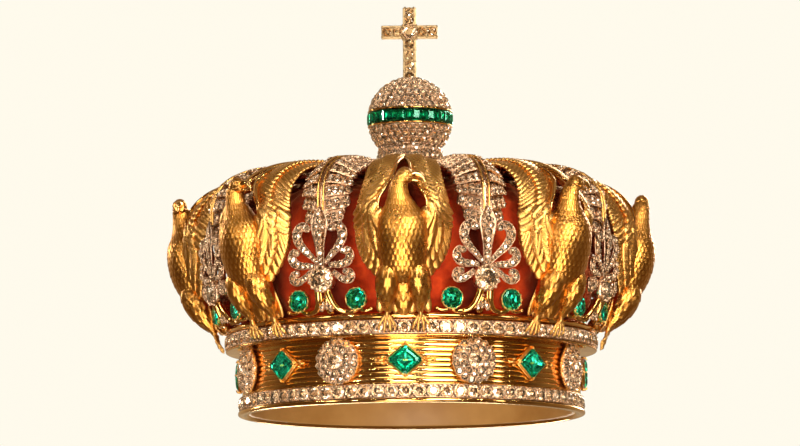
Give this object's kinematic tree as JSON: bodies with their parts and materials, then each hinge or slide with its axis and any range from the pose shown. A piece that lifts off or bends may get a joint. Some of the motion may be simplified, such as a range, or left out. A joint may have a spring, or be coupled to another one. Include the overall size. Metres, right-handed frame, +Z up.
{
  "type": "arched crown",
  "caption": "Small arched crown: jewelled gold circlet, winged eagles and palmettes that meet as arches over a velvet cap, topped by an orb and cross.",
  "frame": {"origin": "centre of the circlet's underside", "axes": "+Z up the crown's axis to the cross; -Y out through the first eagle, which is the front; the cross's arms lie along X"},
  "size_m": [0.1514, 0.1514, 0.128],
  "materials": {
    "gold": "polished and finely chased gold",
    "lining": "matt tan",
    "velvet": "deep pile, orange red",
    "brilliants": "faceted clear stones set close in metal",
    "emerald": "faceted green stone"
  },
  "bodies": {
    "root": {"circlet_band": "gold", "head_lining": "lining", "lower_stone_row": "brilliants", "upper_stone_row": "brilliants", "top_moulding": "gold", "velvet_cap": "velvet", "lozenge_emerald_1": "emerald", "lozenge_emerald_2": "emerald", "lozenge_emerald_3": "emerald", "lozenge_emerald_4": "emerald", "lozenge_emerald_5": "emerald", "lozenge_emerald_6": "emerald", "lozenge_emerald_7": "emerald", "lozenge_emerald_8": "emerald", "cluster_rosette_1": "brilliants", "cluster_rosette_2": "brilliants", "cluster_rosette_3": "brilliants", "cluster_rosette_4": "brilliants", "cluster_rosette_5": "brilliants", "cluster_rosette_6": "brilliants", "cluster_rosette_7": "brilliants", "cluster_rosette_8": "brilliants", "eagle_1": "gold", "eagle_2": "gold", "eagle_3": "gold", "eagle_4": "gold", "eagle_5": "gold", "eagle_6": "gold", "eagle_7": "gold", "eagle_8": "gold", "palmette_1": "brilliants", "palmette_2": "brilliants", "palmette_3": "brilliants", "palmette_4": "brilliants", "palmette_5": "brilliants", "palmette_6": "brilliants", "palmette_7": "brilliants", "palmette_8": "brilliants", "palm_arch_1": "brilliants", "palm_arch_2": "brilliants", "palm_arch_3": "brilliants", "palm_arch_4": "brilliants", "palm_arch_5": "brilliants", "palm_arch_6": "brilliants", "palm_arch_7": "brilliants", "palm_arch_8": "brilliants", "palmette_bracket_1": "gold", "palmette_bracket_2": "gold", "palmette_bracket_3": "gold", "palmette_bracket_4": "gold", "palmette_bracket_5": "gold", "palmette_bracket_6": "gold", "palmette_bracket_7": "gold", "palmette_bracket_8": "gold", "arch_hub": "gold", "orb_pedestal": "brilliants", "orb_shell": "brilliants", "orb_emerald_belt": "emerald", "cross": "brilliants", "finial_bolt": "gold"}
  },
  "joints": []
}
